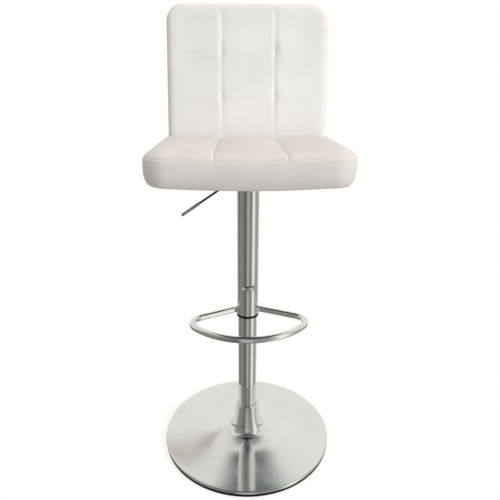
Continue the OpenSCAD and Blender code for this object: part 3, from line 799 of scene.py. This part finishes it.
def soften(piece, move, held, passes):
    """Evens a displacement out over the mesh, and leaves the held points where they are."""
    edges = np.empty(2 * len(piece.data.edges), dtype=np.int64)
    piece.data.edges.foreach_get("vertices", edges)
    edges = edges.reshape(-1, 2)
    count = np.bincount(edges.ravel(), minlength=len(move))[:, None]
    for _ in range(passes):
        total = np.zeros_like(move)
        np.add.at(total, edges[:, 0], move[edges[:, 1]])
        np.add.at(total, edges[:, 1], move[edges[:, 0]])
        move = np.where(held[:, None], move, 0.5 * (move + total / count))
    return move


def inflate(piece, pins, cap, passes):
    """Blows the piece up as a cloth bag held at its pinned points, and keeps the capped, evened shape."""
    group = piece.vertex_groups.new(name="pins")
    for index, weight in pins.items():
        group.add([index], weight, "REPLACE")
    cloth = piece.modifiers.new("cloth", "CLOTH")
    settings = cloth.settings
    settings.quality = 6
    settings.mass = 0.3
    settings.tension_stiffness = 12
    settings.compression_stiffness = 12
    settings.shear_stiffness = 4
    settings.bending_stiffness = 0.3
    settings.vertex_group_mass = group.name
    settings.use_pressure = True
    settings.uniform_pressure_force = CLOTH_PRESSURE
    settings.effector_weights.gravity = 0
    cloth.collision_settings.use_collision = False
    scene = bpy.context.scene
    for frame in range(1, CLOTH_FRAMES + 1):
        scene.frame_set(frame)
    deps = bpy.context.evaluated_depsgraph_get()
    blown = mesh_points(piece.evaluated_get(deps))
    piece.modifiers.clear()
    piece.vertex_groups.clear()
    scene.frame_set(1)
    rest = mesh_points(piece)
    move = blown - rest
    length = np.linalg.norm(move, axis=1, keepdims=True)
    most = cap[:, None]
    move *= most * np.tanh(length / most) / np.maximum(length, 1e-9)
    held = np.zeros(len(rest), dtype=bool)
    held[[index for index, weight in pins.items() if weight == 1]] = True
    set_points(piece, rest + soften(piece, move, held, passes))


def valley(distance, depth, low_width, high_width):
    """A sewn channel: steep by the seam and easing out into the panel on each side."""
    return depth * np.exp(-np.abs(distance) / np.where(distance < 0, low_width, high_width))


def carve(piece, distances, depth, width):
    """Presses narrow stitched lines into the skin, along its normals.

    The callers add a metre to the distances of the points that a line must not reach.
    """
    nearest = np.min(np.abs(np.array(distances)), axis=0)
    pressed = depth * np.exp(-(nearest / width) ** 2)
    normals = triples(piece.data.vertex_normals, "vector")
    set_points(piece, mesh_points(piece) - normals * pressed[:, None])


def skin(name, points, faces, material):
    """A new cushion mesh, smooth all over."""
    piece = add_mesh(name, points, faces, material, 180)
    piece.data.shade_smooth()
    return piece


# Seat side from the boxing seam down: distance in from the outline, and height as a share of the band's
SEAT_SIDE = [(3, 1), (1.6, 0.93), (0.6, 0.8), (0.2, 0.6), (0.6, 0.4), (2.4, 0.22), (6, 0.08), (9, 0.02)]


def seat_plan():
    """The cover's plan, and the middle and the corners of its CAD box."""
    low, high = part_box("seat_cover")
    centre = (low + high) / 2
    plan = Plan((high[0] - low[0]) / 2 - SEAT_EASE, (high[1] - low[1]) / 2, SEAT_FRONT_R, SEAT_REAR_R)
    return plan, centre, low, high


def seat_cushion(looks):
    """Seat cover: three puffed channels from front to rear, a boxing band, and a hem turned under."""
    plan, centre, low, high = seat_plan()
    face_w = plan.half[0] - SEAT_SEAM_INSET
    face_d = plan.half[1] - SEAT_SEAM_INSET
    seams = (-SEAT_SEAM_X, SEAT_SEAM_X)
    across = stations(-face_w, face_w, seams)
    along = stations(-face_d, face_d, ())

    def rise(x):
        """The cover climbs toward both ends, a little higher on the sitter's left."""
        most = np.where(x > 0, SEAT_RISE_LEFT, SEAT_RISE_RIGHT)
        return most * (np.abs(x) / plan.half[0]) ** 1.8

    def seam_z(x):
        return high[2] - SEAT_SEAM_DROP + rise(x)

    def foot_z(x):
        return low[2] - SEAT_SAG * (1 - (x / plan.half[0]) ** 2) + 0.6 * rise(x)

    def crown(x, y):
        inner = np.maximum(plan.depth(x, y) - SEAT_SEAM_INSET, 0)
        flat = high[2] + SEAT_CROWN - SEAT_DISH * (1 - (x / plan.half[0]) ** 2)
        edge = seam_z(x)
        dome = edge + (flat - edge) * (1 - np.exp(-inner / SEAT_SHOULDER))
        dips = sum(valley(x - s, SEAT_CHANNEL_DEPTH, SEAT_CHANNEL_WIDTH, SEAT_CHANNEL_WIDTH) for s in seams)
        return dome - dips * (1 - np.exp(-inner / SEAT_CHANNEL_END))

    side = []
    for inset, share in curve_through(SEAT_SIDE, 16)[1:]:
        side.append((inset * MM, lambda x, y, up=share: foot_z(x) + up * (seam_z(x) - foot_z(x))))
    # the cover is pulled flat under the board, and its hem ends inside the cushion
    for inset in (12 * MM, 18 * MM):
        side.append((inset, lambda x, y: np.minimum(foot_z(x), low[2] + 0.3 * MM)))
    side.append((SEAT_HEM_INSET, lambda x, y: np.full(x.shape, low[2] + 0.2 * MM)))
    side.append((SEAT_HEM_INSET + 0.2 * MM, lambda x, y: np.full(x.shape, low[2] + 2 * MM)))
    points, faces, face_count = cushion_shell(
        plan, across, along, SEAT_SEAM_INSET, crown, side,
        SEAT_HEM_INSET + 2 * MM, lambda x, y: np.full(x.shape, low[2] + 2.2 * MM))
    points[:, 1] += centre[1]
    # the seat wears the darker, warmer copy of the leather, with painted shade and warm light in its colour
    cover = skin("seat_cushion", points, faces, looks["white_faux_leather"])
    columns = len(across)
    ring = border(len(along), columns)
    pins = {i: 1.0 for i in ring}
    for s in seams:
        j = int(np.argmin(np.abs(across - s)))
        pins.update({i * columns + j: 1.0 for i in range(len(along))})
    # the lowest curved ring, the four rings of the hem and the back grid are held
    hem = face_count + (len(side) - 5) * len(ring)
    pins.update({i: 1.0 for i in range(hem, len(points))})
    cap = np.full(len(points), SEAT_SIDE_PUFF)
    cap[:face_count] = SEAT_TOP_PUFF
    inflate(cover, pins, cap, 6)
    points = mesh_points(cover)
    points[:, 1] = np.minimum(points[:, 1], high[1] + 0.8 * MM)
    set_points(cover, points)
    subdivide(cover)
    points = mesh_points(cover)
    x, y, z = points[:, 0], points[:, 1] - centre[1], points[:, 2]
    beyond = np.where(z > seam_z(x) - MM, 0.0, 1.0)
    boxing = np.hypot(plan.depth(x, y) - SEAT_SEAM_INSET, z - seam_z(x))
    carve(cover, [x - s + beyond for s in seams], 1.4 * MM, 1.8 * MM)
    carve(cover, [boxing], 1.4 * MM, 1.2 * MM)
    settle(cover, "seat_carriage", "white_faux_leather", "seat_cover", "seat_foam")
    return cover


def staples(cover, looks):
    """The wire staples that hold the cover's hem to the board."""
    plan, centre, low, _ = seat_plan()
    half_w, half_d = plan.half
    across = np.linspace(-half_w, half_w, STAPLES_ACROSS, endpoint=False)
    along = np.linspace(-half_d, half_d, STAPLES_ALONG, endpoint=False)
    edge = [(x, -half_d) for x in across] + [(half_w, y) for y in along]
    edge = np.array(edge + [(-x, -y) for x, y in edge])
    x, y = plan.place(edge[:, 0], edge[:, 1], STAPLE_INSET)
    places = [Vector((px, py + centre[1], low[2] - 50 * MM)) for px, py in zip(x, y)]
    under = BVHTree.FromPolygons(mesh_points(cover).tolist(), [list(p.vertices) for p in cover.data.polygons])
    up = Vector((0, 0, 1))
    verts = []
    faces = []
    for k, place in enumerate(places):
        run = (places[(k + 1) % len(places)] - places[k - 1]).normalized()
        foot, head = (under.ray_cast(place + run * step, up)[0]
                      for step in (-STAPLE_CROWN / 2, STAPLE_CROWN / 2))
        path = [foot + STAPLE_BEND * up, foot - 0.2 * MM * up, foot - STAPLE_R * up + STAPLE_BEND * run,
                head - STAPLE_R * up - STAPLE_BEND * run, head - 0.2 * MM * up, head + STAPLE_BEND * up]
        more, sides = bar(path, [STAPLE_R] * len(path), 8, caps=True, start=len(verts))
        verts += more
        faces += sides
    piece = add_mesh("hem_staples", verts, faces, looks["zinc_fasteners"], 50)
    settle(piece, "seat_carriage", "zinc_fasteners")


def back_place():
    """The matrix from the back's own upright frame to the stool's."""
    low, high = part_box("back_cover")
    c, s = math.cos(BACK_LEAN), math.sin(BACK_LEAN)
    foot_y = low[1] - BACK_EDGE_R * (c + s - 1)
    foot_z = low[2] + (BACK_THICK - BACK_EDGE_R) * s - BACK_EDGE_R * c + BACK_EDGE_R
    return Matrix.Translation((0, foot_y, foot_z)) @ Matrix.Rotation(-BACK_LEAN, 4, "X")


# Back side from the face's seam to the rear seam: distance in from the outline, and depth from the face
BACK_SIDE = [(13, 1.2), (8, 3.4), (4, 7.5), (1.6, 13), (0.8, 20), (0.8, 38), (3, 47.5), (6, 52), (13, 54.6)]


def back_cushion(looks):
    """Back cover: three channels and two cross seams on the face, a boxing band and a plain rear panel."""
    half_w = (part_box("back_cover")[1][0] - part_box("back_cover")[0][0]) / 2
    half_h = BACK_LENGTH / 2
    plan = Plan(half_w, half_h, BACK_FOOT_R, BACK_TOP_R)
    seams = BACK_SEAMS
    cross = [z - half_h for z in BACK_CROSS_SEAMS]
    across = stations(-half_w + BACK_FACE_INSET, half_w - BACK_FACE_INSET, seams)
    along = stations(-half_h + BACK_FACE_INSET, half_h - BACK_FACE_INSET, cross)
    face_w = BACK_SIDE[0][1] * MM

    def face(x, y):
        inner = np.maximum(plan.depth(x, y) - BACK_FACE_INSET, 0)
        ease = 1 - np.exp(-inner / BACK_SHOULDER)
        dips = sum(valley(x - s, BACK_CHANNEL_DEPTH, *BACK_CHANNEL_WIDTHS) for s in seams)
        ties = sum(valley(y - c, BACK_TIE_DEPTH, BACK_TIE_WIDTH, BACK_TIE_WIDTH) for c in cross)
        for s in seams:
            for c in cross:
                ties = ties + BACK_DIMPLE_DEPTH * np.exp(-((x - s) ** 2 + (y - c) ** 2) / BACK_DIMPLE_R ** 2)
        return face_w - BACK_FACE_RISE * ease + (dips + ties) * ease

    def rear(x, y):
        inner = np.maximum(plan.depth(x, y) - BACK_FACE_INSET, 0)
        return BACK_THICK - MM + 1.2 * MM * (1 - np.exp(-inner / (12 * MM)))

    side = [(d * MM, lambda x, y, at=w * MM: np.full(x.shape, at))
            for d, w in curve_through(BACK_SIDE, 15)[1:]]
    points, faces, face_count = cushion_shell(
        plan, across, along, BACK_FACE_INSET, face, side, BACK_FACE_INSET + MM, rear)
    # (across, up, depth) becomes (x, z, y) in the back's own frame, which turns the faces over
    spread = 1 + BACK_SPREAD / half_w * (0.5 - points[:, 1] / BACK_LENGTH)
    points = np.column_stack([points[:, 0] * spread, points[:, 2], points[:, 1] + half_h])
    # the back wears the brighter copy of the leather, with painted light in its colour
    cover = skin("back_cushion", points, [face[::-1] for face in faces], looks["back_leather_painted_bright"])
    columns = len(across)
    rows = len(along)
    ring = border(rows, columns)
    pins = {}
    for s in seams:
        j = int(np.argmin(np.abs(across - s)))
        pins.update({i * columns + j: 1.0 for i in range(rows)})
    for c in cross:
        i = int(np.argmin(np.abs(along - c)))
        pins.update({i * columns + j: 0.25 for j in range(columns) if i * columns + j not in pins})
    rear_ring = face_count + (len(side) - 1) * len(ring)
    pins.update({i: 1.0 for i in range(rear_ring, len(points))})
    inner = plan.depth(points[:, 0], points[:, 2] - half_h) - BACK_FACE_INSET
    cap = np.full(len(points), BACK_SIDE_PUFF)
    cap[:face_count] += BACK_FACE_PUFF * (1 - np.exp(-(np.maximum(inner[:face_count], 0) / (22 * MM)) ** 2))
    inflate(cover, pins, cap, 10)
    points = mesh_points(cover)
    seat_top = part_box("seat_cover")[1][2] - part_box("back_cover")[0][2]
    points[:, 1] = np.where(points[:, 2] < seat_top, np.maximum(points[:, 1], 0), points[:, 1])
    set_points(cover, points)
    subdivide(cover)
    points = mesh_points(cover)
    w, up = points[:, 1], points[:, 2] - half_h
    x = points[:, 0] / (1 + BACK_SPREAD / half_w * (0.5 - up / BACK_LENGTH))
    inner = plan.depth(x, up) - BACK_FACE_INSET
    beyond = np.where((inner < 0) | (w > BACK_THICK / 2), 1.0, 0.0)
    rim = np.hypot(inner, w - face_w)
    rear_rim = np.hypot(inner, w - BACK_SIDE[-1][1] * MM)
    carve(cover, [x - s + beyond for s in seams], 2.2 * MM, 1.4 * MM)
    carve(cover, [rim], 0.15 * MM, 1.5 * MM)
    carve(cover, [rear_rim], 0.6 * MM, 1.3 * MM)
    carve(cover, [up - c + beyond for c in cross], 0.4 * MM, 1.2 * MM)
    cover.data.transform(back_place() @ Matrix.Scale(1 + BACK_RISE / BACK_LENGTH, 4, (0, 0, 1)))
    settle(cover, "seat_carriage", "white_faux_leather", "back_cover", "back_foam", "back_rear_pad")
    return cover


# ---- Stage ----


def camera():
    data = bpy.data.cameras.new("camera")
    data.lens = CAMERA_LENS
    data.sensor_width = 36
    data.shift_x = CAMERA_SHIFT_X
    azimuth = math.radians(CAMERA_AZIMUTH)
    eye = bpy.data.objects.new("camera", data)
    eye.location = (CAMERA_DISTANCE * math.sin(azimuth), -CAMERA_DISTANCE * math.cos(azimuth), CAMERA_HEIGHT)
    turns = Matrix.Rotation(azimuth, 3, "Z") @ Matrix.Rotation(math.radians(90 - CAMERA_PITCH), 3, "X")
    eye.rotation_euler = (turns @ Matrix.Rotation(math.radians(CAMERA_ROLL), 3, "Z")).to_euler()
    bpy.context.scene.collection.objects.link(eye)
    bpy.context.scene.camera = eye


def area_light(name, place, target, size, power, color):
    data = bpy.data.lights.new(name, "AREA")
    data.shape = "RECTANGLE"
    data.size, data.size_y = size
    data.energy = power
    data.color = color
    lamp = bpy.data.objects.new(name, data)
    lamp.location = place
    aim = Vector(target) - Vector(place)
    lamp.rotation_euler = aim.to_track_quat("-Z", "Y").to_euler()
    lamp.visible_camera = False
    lamp.visible_glossy = False
    bpy.context.scene.collection.objects.link(lamp)


# Soft boxes that the chrome does not mirror: name, place, aim, width and height, watts and colour
LIGHTS = [
    ("key", (2.3, -1.5, 1.5), (0, 0, 0.85), (1.2, 1.6), 26, (1, 1, 0.985)),
    ("top", (0.1, -0.3, 2.8), (0, 0, 0.8), (1.6, 1.6), 14, (1, 0.9, 0.84)),
    ("front", (-0.3, -3.0, 1.3), (0, 0, 0.85), (2.0, 2.0), 21, (1, 1, 1)),
]

# What stands round the stool, as the chrome sees it: degrees from the front to the sitter's left, and a grey
ROOM = [
    (-180, 0.9), (-140, 0.8), (-124, 0.26), (-98, 0.18), (-80, 0.26), (-55, 0.23), (-40, 0.16), (-18, 0.13),
    (-9, 0.42), (5, 0.44), (16, 0.25), (34, 0.27), (45, 0.5), (51, 0.95), (64, 0.95), (75, 0.48), (92, 0.36),
    (114, 0.36), (134, 0.8), (180, 0.9),
]

# Softer things higher up: the direction that they stand in, how far they reach round it, and their colour
OVERHEAD = [
    ((0.02, -0.2, 1.0), (0.64, 0.95, 0.9), (0.08, 0.1, 0.105)),
    ((0.03, 0.65, 0.75), (0.1, 0.2, 0.05), (0.03, 0.05, 0.06)),
    ((-0.11, 0.72, 0.686), (0.07, 0.3, 0.02), (0.4, 0.355, 0.31)),
    ((-0.05, 0.74, 0.668), (0.06, 0.3, 0.018), (0.44, 0.39, 0.34)),
    ((-0.17, 0.72, 0.676), (0.13, 0.3, 0.022), (0.56, 0.52, 0.48)),
]


def room_light():
    """World light: a studio seen as soft bands round the horizon under a pale ceiling, with white behind."""
    world = bpy.data.worlds.new("studio")
    bpy.context.scene.world = world
    world.use_nodes = True
    world.node_tree.nodes.clear()
    node = partial(add_node, world.node_tree)

    def maths(operation, first, second):
        return node("ShaderNodeMath", {0: first, 1: second}, operation=operation).outputs[0]

    def ease(value, start, end):
        return node("ShaderNodeMapRange", {"Value": value, "From Min": start, "From Max": end},
                    interpolation_type="SMOOTHSTEP").outputs[0]

    def blend(factor, first, second):
        # a Mix node's colour sockets are its seventh and eighth
        return node("ShaderNodeMix", {0: factor, 6: first, 7: second}, data_type="RGBA").outputs[2]

    direction = node("ShaderNodeTexCoord").outputs["Generated"]
    parts = node("ShaderNodeSeparateXYZ", {"Vector": direction})
    toward = maths("MULTIPLY", parts.outputs["Y"], -1.0)
    angle = maths("ARCTAN2", parts.outputs["X"], toward)
    turn = node("ShaderNodeMapRange", {"Value": angle, "From Min": -math.pi, "From Max": math.pi}).outputs[0]
    bands = node("ShaderNodeValToRGB", {"Fac": turn})
    ramp = bands.color_ramp
    ramp.interpolation = "EASE"
    for k, (degrees, grey) in enumerate(ROOM):
        at = (degrees + 180) / 360
        # a new ramp already has its first and last stop
        inner = 0 < k < len(ROOM) - 1
        stop = ramp.elements.new(at) if inner else ramp.elements[0 if k == 0 else -1]
        stop.position = at
        stop.color = (grey, grey * 0.99, grey * 0.96, 1)
    haze = node("ShaderNodeTexNoise", {"Vector": direction, "Scale": 1.3, "Detail": 2.0}).outputs["Fac"]
    ceiling = blend(ease(haze, 0.3, 0.55), (0.74, 0.73, 0.7, 1), (0.84, 0.845, 0.82, 1))
    # the ceiling comes down to the horizon behind the stool, and stays high in front of it
    low = ease(parts.outputs["Z"], -0.05, 0.15)
    high = ease(parts.outputs["Z"], 0.7, 0.85)
    front = maths("ADD", maths("MULTIPLY", low, 0.1), maths("MULTIPLY", high, 0.9))
    behind = maths("MULTIPLY", low, ease(parts.outputs["Y"], -0.25, 0.15))
    sky = blend(maths("MAXIMUM", front, behind), bands.outputs["Color"], ceiling)
    for place, reach, color in OVERHEAD:
        offset = node("ShaderNodeVectorMath", {0: direction, 1: place}, operation="SUBTRACT").outputs[0]
        offset = node("ShaderNodeVectorMath", {0: offset, 1: reach}, operation="DIVIDE").outputs[0]
        away = node("ShaderNodeVectorMath", {0: offset}, operation="LENGTH").outputs["Value"]
        sky = blend(ease(away, 1.0, 0.45), sky, (*color, 1))
    seen = node("ShaderNodeLightPath").outputs["Is Camera Ray"]
    room = node("ShaderNodeBackground", {"Color": sky, "Strength": 1.0})
    blank = node("ShaderNodeBackground", {"Color": (1, 1, 1, 1), "Strength": 1.0})
    both = node("ShaderNodeMixShader", {0: seen, 1: room.outputs[0], 2: blank.outputs[0]})
    node("ShaderNodeOutputWorld", {"Surface": both.outputs[0]})


FLOOR_R = 1.2
FLOOR_FADE = (0.23, 0.5)
FLOOR_GREY = 0.55
FLOOR_GLOW = 0.66


def floor():
    """A pale studio floor round the base, which fades into the white behind."""
    steps = 96
    turns = [2 * math.pi * k / steps for k in range(steps)]
    verts = [(FLOOR_R * math.cos(a), FLOOR_R * math.sin(a), 0) for a in turns]
    material = bpy.data.materials.new("studio_floor")
    material.use_nodes = True
    material.node_tree.nodes.clear()
    node = partial(add_node, material.node_tree)
    place = node("ShaderNodeTexCoord").outputs["Object"]
    reach = node("ShaderNodeVectorMath", {0: place}, operation="LENGTH").outputs["Value"]
    fade = node("ShaderNodeMapRange", {"Value": reach, "From Min": FLOOR_FADE[0], "From Max": FLOOR_FADE[1]},
                interpolation_type="SMOOTHSTEP").outputs[0]
    pale = node("ShaderNodeBsdfDiffuse", {"Color": (FLOOR_GREY, FLOOR_GREY, FLOOR_GREY, 1)}).outputs[0]
    glow = node("ShaderNodeEmission", {"Strength": FLOOR_GLOW}).outputs[0]
    lit = node("ShaderNodeAddShader", {0: pale, 1: glow}).outputs[0]
    clear = node("ShaderNodeBsdfTransparent").outputs[0]
    mixed = node("ShaderNodeMixShader", {0: fade, 1: lit, 2: clear}).outputs[0]
    node("ShaderNodeOutputMaterial", {"Surface": mixed})
    disc = add_mesh("studio_floor", verts, [list(range(steps))], material)
    disc.visible_glossy = False
    disc.visible_diffuse = False


def stage():
    scene = bpy.context.scene
    scene.view_settings.view_transform = "Standard"
    scene.view_settings.look = "None"
    camera()
    room_light()
    floor()
    for light in LIGHTS:
        area_light(*light)


def main():
    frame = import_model()
    looks = make_materials()
    finish_nodes(frame, looks)
    stage()
    base_shell(looks)
    base_collar(looks)
    pipe("column_pipe", "column_tube", TUBE_WALL, looks, "base")
    pipe("sleeve_pipe", "sleeve_tube", SLEEVE_WALL, looks, "seat_carriage")
    guide_ring(looks)
    footrest(looks)
    staples(seat_cushion(looks), looks)
    back_cushion(looks)


main()
